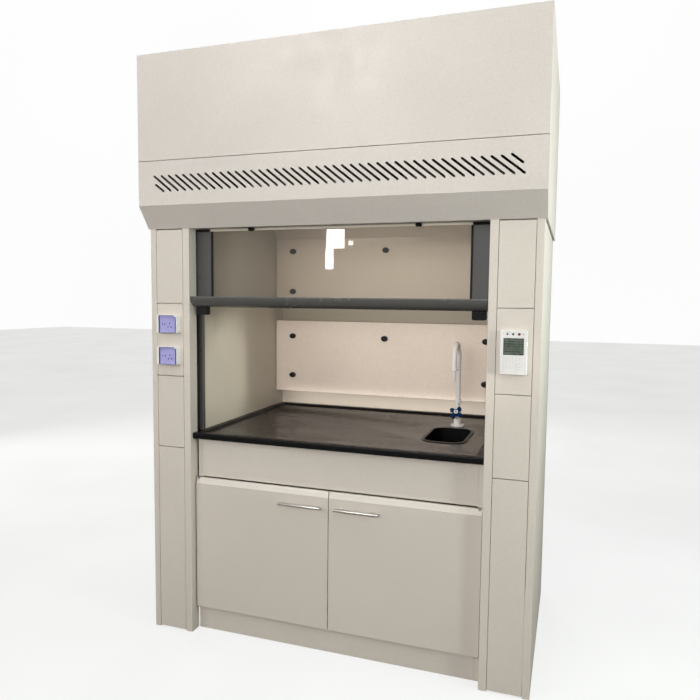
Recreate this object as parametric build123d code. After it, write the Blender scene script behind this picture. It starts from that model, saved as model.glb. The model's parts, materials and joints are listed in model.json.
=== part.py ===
from build123d import *

import math
import os

os.makedirs("parts", exist_ok=True)

# Overall body. X is the width, Y the depth (front towards -Y) and Z is up, all in millimetres.
WIDTH = 1500.0
FRONT = -460.0
REAR = 460.0
HEIGHT = 2250.0
SHEET = 2.0

# Canopy above the sash opening.
CANOPY_HALF = WIDTH / 2
CANOPY_FOLD_Z = 1691.5
CANOPY_BOTTOM_Z = 1609.0
CANOPY_SEAM_Z = 1857.0
GRILLE_SLOTS = 42
GRILLE_PITCH = 31.35
GRILLE_FIRST_X = -678.0
GRILLE_TOP_Z = 1799.0
GRILLE_LOW_Z = 1744.0
GRILLE_SHIFT = 70.0
GRILLE_SLOT_R = 4.0

# Exhaust collar on the roof.
DUCT_Y = 150.0
DUCT_R = 125.0
COLLAR_HEIGHT = 100.0

# Front columns.
COLUMN_FRONT = -400.0
COLUMN_REAR = -350.0
COLUMN_OUT = 742.0
COLUMN_IN = 570.0
COVER_IN = 598.0
COVER_OUT = 718.0
COVER_SEAMS = (4.0, 751.0, 1036.0, 1321.0, 1606.0)
COVER_GAP = 1.5

# Base cabinet.
CARCASS_HALF = 565.0
BOARD = 18.0
DOOR_FRONT = -370.0
DOOR_REAR = -352.0
DOOR_LOW = 98.0
DOOR_TOP = 628.0
DOOR_CHAMFER = 25.0
PIVOT_X = 557.0
PIVOT_Y = -362.0
PIVOT_R = 3.0
HANDLE_X = 113.0
HANDLE_Z = 568.0
HANDLE_LENGTH = 172.0
HANDLE_SPACING = 128.0
HANDLE_Y = -390.0
HANDLE_R = 5.0

# Worktop, sink and tap.
TOP_HALF = 569.0
TOP_FRONT = -386.0
TOP_LOW = 788.0
TOP_FIELD = 802.0
TOP_LIP = 812.0
LIP_WIDTH = 26.0
SINK_X = 379.0
SINK_Y = -12.0
SINK_W = 152.0
SINK_D = 275.0
SINK_DEPTH = 165.0
SINK_CORNER = 46.0
TAP_X = 379.0
TAP_Y = 205.0
TAP_VALVE_Z = 831.0
TAP_TILT = 40.0
TAP_SWIVEL_Z = 903.0
SPOUT_REACH = 115.0
SPOUT_TOP = 1161.0
SPOUT_R = 10.0
NOZZLE_Z = 1054.0

# Working chamber.
CHAMBER_HALF = 566.0
LINER = 5.0
LINER_FRONT = -306.0
LINER_REAR = 450.0
CEILING_Z = 1686.0
BAFFLE_Y = 365.0
BAFFLE_T = 6.0
BAFFLE_HALF = 562.0
LOWER_BAFFLE = (887.0, 1235.0)
UPPER_BAFFLE = (1345.0, 1632.0)
KNOB_HALF = (15.5, 13.0)
KNOB_DEPTH = 13.0
KNOB_POINTS = (
    (-471, 1160), (0, 1160), (471, 1160), (-471, 967), (471, 967),
    (-471, 1574), (0, 1574), (471, 1574), (-471, 1379), (471, 1379),
)

# Sash, its cables, pulleys and counterweights. The sash is stored at its working height.
SASH_FRONT = -342.0
SASH_REAR = -324.0
SASH_IN = 508.0
SASH_OUT = 604.0
SASH_TOP = 2090.0
BAR_LOW = 1308.0
BAR_TOP = 1350.0
BAR_HALF = 568.0
BAR_NOSE = -398.0
FOOT_LOW = 1278.0
CABLE_X = 615.0
CABLE_R = 1.5
CABLE_FRONT_Y = -333.0
CABLE_REAR_Y = 419.0
LUG_HEIGHT = 9.0
PULLEY_R = 33.0
PULLEY_Z = 2192.0
SHAFT_R = 8.0
WEIGHT_SIDE = 60.0
WEIGHT_TOP = 1600.0
WEIGHT_HEIGHT = 502.0

# Services on the columns.
SOCKET_X = -658.5
SOCKET_W = 91.0
SOCKET_H = 71.0
SOCKET_FRONT = -424.0
SOCKET_CENTRES = (("upper", 1241.5), ("lower", 1117.5))
PANEL_X = 656.75
PANEL_W = 87.5
PANEL_Z = 1177.0
PANEL_H = 145.0
PANEL_FRONT = -418.0
KEY_COLUMNS = (634.0, 656.0, 678.0)
KEY_ROWS = (1158.5, 1144.0, 1130.0)


def block(x0, x1, y0, y1, z0, z1):
    """A box between two corners, given in any order."""
    size = Box(abs(x1 - x0), abs(y1 - y0), abs(z1 - z0))
    return Pos((x0 + x1) / 2, (y0 + y1) / 2, (z0 + z1) / 2) * size


def rod_x(x0, x1, y, z, radius):
    """A round bar along X."""
    return Pos((x0 + x1) / 2, y, z) * Rot(0, 90, 0) * Cylinder(radius, abs(x1 - x0))


def rod_y(x, y0, y1, z, radius):
    """A round bar along Y."""
    return Pos(x, (y0 + y1) / 2, z) * Rot(90, 0, 0) * Cylinder(radius, abs(y1 - y0))


def rod_z(x, y, z0, z1, radius):
    """A round bar along Z."""
    return Pos(x, y, (z0 + z1) / 2) * Cylinder(radius, abs(z1 - z0))


def cone_z(x, y, z0, z1, r0, r1):
    """A truncated cone along Z, radius r0 at z0 and r1 at z1."""
    return Pos(x, y, (z0 + z1) / 2) * Cone(r0, r1, abs(z1 - z0))


def side_profile(points, x0, x1):
    """A closed outline in the Y-Z plane, extruded along X from x0 to x1."""
    outline = make_face(Polyline(*[(0, y, z) for y, z in points], close=True))
    solid = extrude(outline, amount=x1 - x0, dir=(1, 0, 0))
    return Pos(x0, 0, 0) * solid


def plan_profile(points, z0, z1):
    """A closed outline in the X-Y plane, extruded up from z0 to z1."""
    outline = make_face(Polyline(*[(x, y, 0) for x, y in points], close=True))
    return Pos(0, 0, z0) * extrude(outline, amount=z1 - z0, dir=(0, 0, 1))


def rounded_block(x, y, width, depth, corner, z0, z1):
    """An upright block with rounded vertical corners, centred on x, y."""
    outline = RectangleRounded(width, depth, corner)
    return Pos(x, y, z0) * extrude(outline, amount=z1 - z0)


def flip(part):
    """The same piece on the other side of the centre plane."""
    return mirror(part, about=Plane.YZ)


def pair(part):
    """A piece and its mirror image."""
    return [part, flip(part)]


def save(name, *solids):
    """Write one node as a STEP file."""
    shape = solids[0] if len(solids) == 1 else Compound(children=list(solids))
    shape.label = name
    export_step(shape, f"parts/{name}.step")


# Side panels: a sheet each side with a folded flange along the front and the rear edge.
def side_panel():
    sheet = block(740, COLUMN_OUT, COLUMN_REAR, REAR - SHEET, 0, CANOPY_BOTTOM_Z)
    front_flange = block(722, 740, COLUMN_REAR, COLUMN_REAR + SHEET, 0, CANOPY_BOTTOM_Z)
    rear_flange = block(722, 740, REAR - 2 * SHEET, REAR - SHEET, 0, CANOPY_BOTTOM_Z)
    return sheet + front_flange + rear_flange


save("side_panels", *pair(side_panel()))
save("rear_panel", block(-COLUMN_OUT, COLUMN_OUT, REAR - SHEET, REAR, 0, HEIGHT - SHEET))


# Roof with a round opening under the collar.
roof = block(-748, 748, FRONT + SHEET, REAR - SHEET, HEIGHT - SHEET, HEIGHT)
roof -= rod_z(0, DUCT_Y, HEIGHT - 5, HEIGHT + 5, DUCT_R - 2)
save("roof_panel", roof)

collar = rod_z(0, DUCT_Y, HEIGHT, HEIGHT + COLLAR_HEIGHT, DUCT_R)
collar += rod_z(0, DUCT_Y, HEIGHT, HEIGHT + 3, DUCT_R + 30)
for step in range(8):
    angle = math.radians(22.5 + 45 * step)
    screw_x = (DUCT_R + 18) * math.cos(angle)
    screw_y = DUCT_Y + (DUCT_R + 18) * math.sin(angle)
    collar += rod_z(screw_x, screw_y, HEIGHT, HEIGHT + 7, 5)
collar -= rod_z(0, DUCT_Y, HEIGHT - 5, HEIGHT + COLLAR_HEIGHT + 5, DUCT_R - 2)
save("exhaust_collar", collar)

# Duct between the chamber's ceiling and the roof opening.
duct = rod_z(0, DUCT_Y, CEILING_Z + LINER, HEIGHT - SHEET, DUCT_R - 1)
duct += rod_z(0, DUCT_Y, CEILING_Z + LINER, CEILING_Z + LINER + 3, DUCT_R + 20)
duct -= rod_z(0, DUCT_Y, CEILING_Z, HEIGHT, DUCT_R - 3)
save("exhaust_duct", duct)

# Canopy front: the upper access panel is a shallow folded tray.
access = block(-CANOPY_HALF, CANOPY_HALF, FRONT, FRONT + SHEET, CANOPY_SEAM_Z + 1, HEIGHT)
for z in (CANOPY_SEAM_Z + 1, HEIGHT - 2 * SHEET):
    access += block(-746, 746, FRONT + SHEET, FRONT + 16, z, z + SHEET)
save("canopy_access_panel", access)

# Canopy front: the grille panel folds back under the canopy and along the header.
grille = side_profile(
    (
        (FRONT, CANOPY_SEAM_Z - 1),
        (FRONT, CANOPY_FOLD_Z),
        (COLUMN_FRONT, CANOPY_BOTTOM_Z),
        (COLUMN_REAR, CANOPY_BOTTOM_Z),
        (COLUMN_REAR, CANOPY_BOTTOM_Z + SHEET),
        (COLUMN_FRONT + 1.0, CANOPY_BOTTOM_Z + SHEET),
        (FRONT + SHEET, CANOPY_FOLD_Z + 0.7),
        (FRONT + SHEET, CANOPY_SEAM_Z - 1),
    ),
    -CANOPY_HALF,
    CANOPY_HALF,
)


def slot(x_top, z_top, x_low, z_low):
    """A slanted round-ended slot through the grille panel."""
    length = math.hypot(x_low - x_top, z_top - z_low)
    angle = math.degrees(math.atan2(z_top - z_low, x_low - x_top))
    outline = SlotCenterToCenter(length, 2 * GRILLE_SLOT_R)
    cutter = extrude(outline, amount=10, both=True)
    centre = ((x_top + x_low) / 2, FRONT, (z_top + z_low) / 2)
    return Pos(*centre) * Rot(0, angle, 0) * Rot(90, 0, 0) * cutter


cutters = [slot(-672, 1768, -639, 1743), slot(639, 1802, 672, 1776)]
for index in range(GRILLE_SLOTS):
    x_top = GRILLE_FIRST_X + index * GRILLE_PITCH
    cutters.append(slot(x_top, GRILLE_TOP_Z, x_top + GRILLE_SHIFT, GRILLE_LOW_Z))
grille = grille.cut(*cutters)
save("canopy_grille_panel", grille)


# Canopy side cheeks, slightly wider than the columns below.
def cheek():
    sheet = side_profile(
        (
            (FRONT + SHEET, HEIGHT - SHEET),
            (FRONT + SHEET, CANOPY_FOLD_Z + 0.8),
            (COLUMN_FRONT + 1.2, CANOPY_BOTTOM_Z + SHEET),
            (REAR, CANOPY_BOTTOM_Z + SHEET),
            (REAR, HEIGHT - SHEET),
        ),
        748,
        CANOPY_HALF,
    )
    ledge = block(742.5, 748, COLUMN_REAR, REAR - SHEET, CANOPY_BOTTOM_Z + SHEET, CANOPY_BOTTOM_Z + 2 * SHEET)
    return sheet + ledge


save("canopy_cheeks", *pair(cheek()))


# Columns: inner and outer folded posts tied by cross rails that carry the cover plates.
def column():
    inner = block(COLUMN_IN, COVER_IN, COLUMN_FRONT, COLUMN_REAR, 0, CANOPY_BOTTOM_Z)
    inner -= block(COLUMN_IN + SHEET, COVER_IN - SHEET, COLUMN_FRONT + SHEET, COLUMN_REAR + 1, -1, 1700)
    outer = block(COVER_OUT, COLUMN_OUT, COLUMN_FRONT, COLUMN_REAR, 0, CANOPY_BOTTOM_Z)
    outer -= block(COVER_OUT + SHEET, COLUMN_OUT - SHEET, COLUMN_FRONT + SHEET, COLUMN_REAR + 1, -1, 1700)
    post = inner + outer
    for z in (20, 751, 1036, 1321, 1590):
        post += block(COVER_IN, COVER_OUT, -384, -382, z - 18, z + 18)
    return post


save("columns", *pair(column()))


# Cover plates: folded trays set flush between the posts, with a thin seam all round.
def cover_plate(low, top):
    x0 = COVER_IN + COVER_GAP
    x1 = COVER_OUT - COVER_GAP
    z0 = low + COVER_GAP
    z1 = top - COVER_GAP
    tray = block(x0, x1, COLUMN_FRONT, -384, z0, z1)
    tray -= block(x0 + SHEET, x1 - SHEET, COLUMN_FRONT + SHEET, -380, z0 + SHEET, z1 - SHEET)
    return tray


plates = []
for low, top in zip(COVER_SEAMS[:-1], COVER_SEAMS[1:]):
    plates += pair(cover_plate(low, top))
save("column_cover_plates", *plates)

# Rubber seals behind the columns and the two bumpers under the header.
rubber = pair(block(570.5, 577, COLUMN_REAR, -343, TOP_LIP, CANOPY_BOTTOM_Z))
bumper = rod_z(322, -364, 1597, CANOPY_BOTTOM_Z, 11)
rubber += pair(chamfer(bumper.edges().group_by(Axis.Z)[0], 2))
rubber.append(block(-566, 566, COLUMN_REAR, -343.5, 1600, 1622))
save("frame_seals", *rubber)

# Worktop: a slab with a raised sloping lip all round and a cut-out for the sink.
worktop = block(-TOP_HALF, TOP_HALF, TOP_FRONT, LINER_REAR, TOP_LOW, TOP_LIP)
worktop = fillet(worktop.edges().filter_by(Axis.X).group_by(Axis.Y)[0], 5)
recess_w = 2 * (TOP_HALF - LIP_WIDTH)
recess_d = LINER_REAR - TOP_FRONT - 2 * LIP_WIDTH
recess_y = (LINER_REAR + TOP_FRONT) / 2
upper_outline = Pos(0, recess_y, TOP_LIP + 0.5) * Rectangle(recess_w, recess_d)
lower_outline = Pos(0, recess_y, TOP_FIELD) * Rectangle(recess_w - 24, recess_d - 24)
worktop -= loft([lower_outline, upper_outline])
worktop -= rounded_block(SINK_X, SINK_Y, SINK_W + 9, SINK_D + 9, SINK_CORNER + 4, 700, 850)
worktop -= rod_z(TAP_X, TAP_Y, 700, 850, 11)
save("worktop", worktop)

# Cup sink: a deep rounded bowl with a thin rim that rests on the worktop and an outlet below.
bowl = rounded_block(SINK_X, SINK_Y, SINK_W + 8, SINK_D + 8, SINK_CORNER + 4, TOP_FIELD - SINK_DEPTH, TOP_FIELD)
bowl += rounded_block(SINK_X, SINK_Y, SINK_W + 26, SINK_D + 26, SINK_CORNER + 13, TOP_FIELD, TOP_FIELD + 3)
bowl += rod_z(SINK_X, SINK_Y, TOP_FIELD - SINK_DEPTH - 40, TOP_FIELD - SINK_DEPTH, 25)
bowl -= rounded_block(SINK_X, SINK_Y, SINK_W, SINK_D, SINK_CORNER, TOP_FIELD - SINK_DEPTH + 5, TOP_FIELD + 10)
bowl -= rod_z(SINK_X, SINK_Y, TOP_FIELD - SINK_DEPTH - 50, TOP_FIELD, 20)
save("cup_sink", bowl)

# Bottle trap under the sink, with its outlet pipe to the back of the base cabinet.
TRAP_TOP = TOP_FIELD - SINK_DEPTH - 20
trap = rod_z(SINK_X, SINK_Y, TRAP_TOP - 45, TRAP_TOP, 32)
trap -= rod_z(SINK_X, SINK_Y, TRAP_TOP - 20.5, TRAP_TOP + 5, 25.5)
trap += rod_z(SINK_X, SINK_Y, TRAP_TOP - 75, TRAP_TOP - 45, 20)
trap += rod_z(SINK_X, SINK_Y, TRAP_TOP - 200, TRAP_TOP - 75, 42)
trap += rod_z(SINK_X, SINK_Y, TRAP_TOP - 215, TRAP_TOP - 200, 48)
trap += rod_y(SINK_X, SINK_Y, 429, TRAP_TOP - 100, 20)
trap += rod_y(SINK_X, SINK_Y + 40, SINK_Y + 62, TRAP_TOP - 100, 27)
save("sink_trap", trap)

# Tap: flanged conical foot, domed valve body and a forward boss that tilts up towards the user.
def tilted(part):
    """A piece drawn along Y about the origin, moved to the valve and tilted up to face the user."""
    return Pos(TAP_X, TAP_Y, TAP_VALVE_Z) * Rot(-TAP_TILT, 0, 0) * part


DOME_Z = TAP_SWIVEL_Z - 16
base = rod_z(TAP_X, TAP_Y, TOP_FIELD, TOP_FIELD + 6, 29)
base += cone_z(TAP_X, TAP_Y, TOP_FIELD + 6, 850, 17, 15)
base += rod_z(TAP_X, TAP_Y, 850, DOME_Z - 11, 15)
base += cone_z(TAP_X, TAP_Y, DOME_Z - 11, DOME_Z - 4, 15, 13)
base += cone_z(TAP_X, TAP_Y, DOME_Z - 4, DOME_Z, 13, 10)
base += rod_z(TAP_X, TAP_Y, DOME_Z, TAP_SWIVEL_Z, 10)
base += tilted(rod_y(0, -40, 0, 0, 9.5))
base += tilted(rod_y(0, -43, -40, 0, 8))
base += rod_z(TAP_X, TAP_Y, 745, TOP_FIELD, 10)
base += rod_z(TAP_X, TAP_Y, 776, TOP_LOW, 22)
base -= tilted(rod_y(0, -50, -22, 0, 4.05))
base -= rod_z(TAP_X, TAP_Y, TAP_SWIVEL_Z - 12, TAP_SWIVEL_Z + 5, 8.05)
save("tap_base", base)

# Tap knob: a hub with four lobes, a stem into the valve and a light cap on the front.
knob = rod_y(0, -60, -46, 0, 15)
for step in range(4):
    angle = math.radians(90 * step - 31)
    lobe = rod_y(22 * math.cos(angle), -59, -47, 22 * math.sin(angle), 9)
    knob += fillet(lobe.edges().group_by(Axis.Y)[0], 2)
knob += rod_y(0, -46, -24, 0, 4)
knob += rod_y(0, -63, -60, 0, 9)
save("tap_handle", tilted(knob))

# Tap spout: swivel nut, gooseneck and serrated hose nozzle.
bend_r = SPOUT_REACH / 2
bend_z = SPOUT_TOP - bend_r
nut_top = TAP_SWIVEL_Z + 14.5
path = Line((TAP_X, TAP_Y, nut_top - 5), (TAP_X, TAP_Y, bend_z))
path += ThreePointArc(
    (TAP_X, TAP_Y, bend_z),
    (TAP_X, TAP_Y - bend_r, SPOUT_TOP),
    (TAP_X, TAP_Y - SPOUT_REACH, bend_z),
)
path += Line((TAP_X, TAP_Y - SPOUT_REACH, bend_z), (TAP_X, TAP_Y - SPOUT_REACH, NOZZLE_Z + 2))
section = Plane(origin=(TAP_X, TAP_Y, nut_top - 5), z_dir=(0, 0, 1)) * Circle(SPOUT_R)
spout = sweep(section, path=path)
spout += rod_z(TAP_X, TAP_Y, TAP_SWIVEL_Z - 10, nut_top - 4, 8)
spout += rod_z(TAP_X, TAP_Y, TAP_SWIVEL_Z + 0.5, nut_top, 14)
nozzle_y = TAP_Y - SPOUT_REACH
spout += rod_z(TAP_X, nozzle_y, NOZZLE_Z, NOZZLE_Z + 5, 17)
for step in range(5):
    low = NOZZLE_Z - 9 * (step + 1)
    spout += cone_z(TAP_X, nozzle_y, low, low + 9, 5.6 - 0.4 * step, 8.4 - 0.6 * step)
save("tap_spout", spout)

# Chamber liners.
side_liner = block(CHAMBER_HALF, CHAMBER_HALF + LINER, LINER_FRONT, LINER_REAR, TOP_LIP, CEILING_Z)
save("side_liners", *pair(side_liner))
save("rear_liner", block(-571, 571, LINER_REAR, LINER_REAR + LINER, 780, CEILING_Z))

LAMP = (-300.0, 300.0, -150.0, -50.0)
ceiling = block(-571, 571, LINER_FRONT, LINER_REAR + LINER, CEILING_Z, CEILING_Z + LINER)
ceiling -= rod_z(0, DUCT_Y, CEILING_Z - 5, CEILING_Z + 20, DUCT_R - 3)
ceiling -= block(LAMP[0], LAMP[1], LAMP[2], LAMP[3], CEILING_Z - 5, CEILING_Z + 20)
save("ceiling_liner", ceiling)

window = block(LAMP[0] + 1, LAMP[1] - 1, LAMP[2] + 1, LAMP[3] - 1, CEILING_Z, CEILING_Z + LINER)
save("lamp_window", window)

lamp = block(-330, 330, -175, -25, CEILING_Z + LINER, CEILING_Z + 85)
lamp -= block(-328, 328, -173, -27, CEILING_Z, CEILING_Z + 83)
lamp += block(-310, 310, -112, -88, CEILING_Z + 55, CEILING_Z + 83)
lamp += rod_x(-295, 295, -100, CEILING_Z + 46, 13)
save("lamp_housing", lamp)

# Baffles stand off the rear liner on studs; the upper one leans forward at the top.
lower = block(-BAFFLE_HALF, BAFFLE_HALF, BAFFLE_Y, BAFFLE_Y + BAFFLE_T, *LOWER_BAFFLE)
upper = side_profile(
    (
        (BAFFLE_Y, UPPER_BAFFLE[0]),
        (BAFFLE_Y, UPPER_BAFFLE[1]),
        (BAFFLE_Y - 50, CEILING_Z - 2),
        (BAFFLE_Y - 41.5, CEILING_Z - 2),
        (BAFFLE_Y + BAFFLE_T, UPPER_BAFFLE[1] + 2.5),
        (BAFFLE_Y + BAFFLE_T, UPPER_BAFFLE[0]),
    ),
    -BAFFLE_HALF,
    BAFFLE_HALF,
)
knobs = []
for x, z in KNOB_POINTS:
    hole = rod_y(x, BAFFLE_Y - 5, BAFFLE_Y + BAFFLE_T + 5, z, 5)
    if z < LOWER_BAFFLE[1]:
        lower -= hole
    else:
        upper -= hole
    head = Plane(origin=(x, BAFFLE_Y, z), x_dir=(1, 0, 0), z_dir=(0, -1, 0)) * Ellipse(*KNOB_HALF)
    cap = extrude(head, amount=KNOB_DEPTH, dir=(0, -1, 0))
    cap = fillet(cap.edges().group_by(Axis.Y)[0], 4)
    cap += rod_y(x, BAFFLE_Y, BAFFLE_Y + BAFFLE_T, z, 4.5)
    cap += rod_y(x, BAFFLE_Y + BAFFLE_T, LINER_REAR, z, 8)
    knobs.append(cap)
save("lower_baffle", lower)
save("upper_baffle", upper)
save("baffle_knobs", *knobs)

# Sash tracks: dark guide bars behind the stiles, from the worktop lip up into the canopy.
track = block(560, 610, -322, LINER_FRONT, TOP_LIP, 2120)
track -= block(562, 612, -319.5, LINER_FRONT - 2.5, TOP_LIP - 1, 2121)
save("sash_tracks", *pair(track))

# Sash frame: two stiles and a top rail that reaches out to the cable lugs.
stile = block(SASH_IN, SASH_OUT, SASH_FRONT, SASH_REAR, BAR_LOW, SASH_TOP)
stile -= block(SASH_IN - 1, SASH_IN + 6, -337, -331, BAR_LOW - 1, SASH_TOP + 1)
frame = stile + flip(stile)
frame += block(-628, 628, SASH_FRONT, SASH_REAR, SASH_TOP - 30, SASH_TOP)
frame += block(-SASH_IN, SASH_IN, SASH_FRONT, SASH_REAR, BAR_LOW, BAR_TOP)
frame -= block(-SASH_IN - 6, SASH_IN + 6, -337, -331, BAR_TOP - 10, SASH_TOP - 20)
for side in (-1, 1):
    lug_x = side * CABLE_X
    lug = block(lug_x - 9, lug_x + 9, SASH_FRONT, SASH_REAR, SASH_TOP, SASH_TOP + LUG_HEIGHT)
    frame += lug
save("sash_frame", frame)

save("sash_glass", block(-SASH_IN - 5, SASH_IN + 5, -336.5, -331.5, BAR_TOP - 9, SASH_TOP - 21))

# Handle bar: flat top, sharp nose and a large round underside, fixed to the frame by a narrower web.
nose_z = BAR_TOP - 5
heel_y = -358.0
reach = heel_y - BAR_NOSE
drop = nose_z - BAR_LOW
round_r = (reach ** 2 + drop ** 2) / (2 * drop)
start = math.atan2(nose_z - BAR_LOW - round_r, -reach) % (2 * math.pi)
middle = (start + 1.5 * math.pi) / 2
arc_middle = (0, heel_y + round_r * math.cos(middle), BAR_LOW + round_r + round_r * math.sin(middle))
bar_sketch = Polyline(
    (0, heel_y, BAR_LOW),
    (0, -350, BAR_LOW),
    (0, -350, BAR_TOP),
    (0, BAR_NOSE, BAR_TOP),
    (0, BAR_NOSE, nose_z),
) + ThreePointArc((0, BAR_NOSE, nose_z), arc_middle, (0, heel_y, BAR_LOW))
bar = Pos(-BAR_HALF, 0, 0) * extrude(make_face(bar_sketch), amount=2 * BAR_HALF, dir=(1, 0, 0))
bar += block(-560, 560, -350, SASH_FRONT, BAR_LOW + 4, BAR_TOP)
save("sash_handle", bar)

# Black glazing seals along the stiles and the rubber feet under both ends of the bar.
sash_rubber = []
seal = block(SASH_IN - 8, SASH_IN, SASH_FRONT, -336.5, BAR_TOP, SASH_TOP - 30)
foot = block(512, 560, -368, -343, FOOT_LOW, BAR_LOW)
foot = fillet(foot.edges().filter_by(Axis.Y).group_by(Axis.Z)[0], 7)
for piece in (seal, foot):
    sash_rubber += [piece, flip(piece)]
save("sash_rubber", *sash_rubber)


# Steel cables: sash to front pulley, over the top, and down to the counterweight.
front_centre = CABLE_FRONT_Y + PULLEY_R
rear_centre = CABLE_REAR_Y - PULLEY_R
cable_top = PULLEY_Z + PULLEY_R
save("sash_cables", *pair(rod_z(CABLE_X, CABLE_FRONT_Y, SASH_TOP + LUG_HEIGHT, PULLEY_Z, CABLE_R)))
save("counterweight_cables", *pair(rod_z(CABLE_X, CABLE_REAR_Y, WEIGHT_TOP, PULLEY_Z, CABLE_R)))
top_path = ThreePointArc(
    (CABLE_X, CABLE_FRONT_Y, PULLEY_Z),
    (CABLE_X, front_centre - PULLEY_R * math.sqrt(0.5), PULLEY_Z + PULLEY_R * math.sqrt(0.5)),
    (CABLE_X, front_centre, cable_top),
)
top_path += Line((CABLE_X, front_centre, cable_top), (CABLE_X, rear_centre, cable_top))
top_path += ThreePointArc(
    (CABLE_X, rear_centre, cable_top),
    (CABLE_X, rear_centre + PULLEY_R * math.sqrt(0.5), PULLEY_Z + PULLEY_R * math.sqrt(0.5)),
    (CABLE_X, CABLE_REAR_Y, PULLEY_Z),
)
top_section = Plane(origin=(CABLE_X, CABLE_FRONT_Y, PULLEY_Z), z_dir=(0, 0, 1)) * Circle(CABLE_R)
save("top_cables", *pair(sweep(top_section, path=top_path)))


def pulley_shaft(y):
    """A cross shaft with a grooved pulley over each cable."""
    shaft = rod_x(-645, 645, y, PULLEY_Z, SHAFT_R)
    for side in (-1, 1):
        x = side * CABLE_X
        wheel = rod_x(x - 6, x + 6, y, PULLEY_Z, PULLEY_R + 3)
        groove = rod_x(x - 2.2, x + 2.2, y, PULLEY_Z, PULLEY_R + 10)
        groove -= rod_x(x - 10, x + 10, y, PULLEY_Z, PULLEY_R - CABLE_R - 0.2)
        shaft += wheel - groove
        for step in range(5):
            angle = math.radians(72 * step)
            hole_y = y + 20 * math.cos(angle)
            hole_z = PULLEY_Z + 20 * math.sin(angle)
            shaft -= rod_x(x - 10, x + 10, hole_y, hole_z, 5)
    return shaft


save("front_pulley_shaft", pulley_shaft(front_centre))
save("rear_pulley_shaft", pulley_shaft(rear_centre))


# Pulley brackets hang from the roof; channel guides carry the counterweights in the side walls.
def bracket(y):
    hanger = block(596, 634, y - 25, y + 25, HEIGHT - 5, HEIGHT - SHEET)
    for x in (596, 631):
        hanger += block(x, x + 3, y - 25, y + 25, PULLEY_Z - 20, HEIGHT - SHEET)
    hanger -= rod_x(590, 640, y, PULLEY_Z, SHAFT_R + 0.06)
    return hanger


guide = block(581, 649, 386, 457, 1015, 2120)
guide -= block(583, 647, 380, 455, 1010, 2130)
rigging = []
for piece in (bracket(front_centre), bracket(rear_centre), guide):
    rigging += pair(piece)
save("pulley_brackets_and_guides", *rigging)

half = WEIGHT_SIDE / 2
weight = block(
    CABLE_X - half, CABLE_X + half, CABLE_REAR_Y - half, CABLE_REAR_Y + half, WEIGHT_TOP - WEIGHT_HEIGHT, WEIGHT_TOP
)
save("counterweights", *pair(chamfer(weight.edges(), 2)))

# Base cabinet boards.
carcass_side = block(CARCASS_HALF - BOARD, CARCASS_HALF, COLUMN_REAR, 430, 0, TOP_LOW)
carcass_floor = block(-547, 547, COLUMN_REAR + BOARD, 430, 96, 96 + BOARD)
carcass_back = block(-CARCASS_HALF, CARCASS_HALF, 430, 436, 96, TOP_LOW)
save("base_carcass", carcass_side, flip(carcass_side), carcass_floor, carcass_back)

shelf = block(-546, 546, -300, 429, 330, 330 + BOARD)
shelf_parts = [shelf]
for x in (541, -541):
    for y in (-240, 370):
        shelf_parts.append(rod_x(x - 6, x + 6, y, 325, 5))
save("cabinet_shelf", *shelf_parts)

apron = block(-547, 547, COLUMN_REAR, COLUMN_REAR + SHEET, 632, TOP_LOW)
apron += block(-547, 547, COLUMN_REAR + SHEET, COLUMN_REAR + 30, 632, 634)
plinth = block(-547, 547, COLUMN_REAR, COLUMN_REAR + BOARD, 0, 94)
save("cabinet_apron_and_plinth", apron, plinth)

# Door pivots: a leaf above and below each door with a pin into the door's edge.
pivots = []
for leaf_z, pin in ((629.0, (619.0, 631.0)), (94.5, (94.5, 108.0))):
    leaf = block(549, CARCASS_HALF, -368, COLUMN_REAR, leaf_z, leaf_z + SHEET)
    leaf += rod_z(PIVOT_X, PIVOT_Y, pin[0], pin[1], PIVOT_R)
    pivots += pair(leaf)
save("door_pivots", *pivots)


# Doors: the outer rear edge is relieved so that it clears the cabinet as the door swings.
def right_hand_door():
    x0 = 1.5
    x1 = CARCASS_HALF
    panel = plan_profile(
        ((x0, DOOR_FRONT), (x1, DOOR_FRONT), (x1, DOOR_REAR - 4), (x1 - 4, DOOR_REAR), (x0, DOOR_REAR)),
        DOOR_LOW,
        DOOR_TOP,
    )
    bevel = side_profile(
        ((DOOR_FRONT - 1, DOOR_TOP + 1), (DOOR_FRONT - 1, DOOR_TOP - DOOR_CHAMFER), (DOOR_FRONT + 8, DOOR_TOP + 1)),
        x0 - 1,
        x1 + 1,
    )
    panel -= bevel
    panel -= rod_z(PIVOT_X, PIVOT_Y, DOOR_TOP - 10, DOOR_TOP + 1, PIVOT_R + 0.08)
    panel -= rod_z(PIVOT_X, PIVOT_Y, DOOR_LOW - 1, DOOR_LOW + 11, PIVOT_R + 0.08)
    return panel


def door_handle():
    x0 = HANDLE_X - HANDLE_LENGTH / 2
    x1 = HANDLE_X + HANDLE_LENGTH / 2
    bar = rod_x(x0, x1, HANDLE_Y, HANDLE_Z, HANDLE_R)
    bar = chamfer(bar.edges(), 1)
    for side in (-1, 1):
        x = HANDLE_X + side * HANDLE_SPACING / 2
        bar += rod_y(x, HANDLE_Y, DOOR_FRONT, HANDLE_Z, 4)
        bar += rod_y(x, DOOR_FRONT - 2, DOOR_FRONT, HANDLE_Z, 6.5)
    return bar


save("right_door", right_hand_door())
save("left_door", flip(right_hand_door()))
save("right_door_handle", door_handle())
save("left_door_handle", flip(door_handle()))

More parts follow.
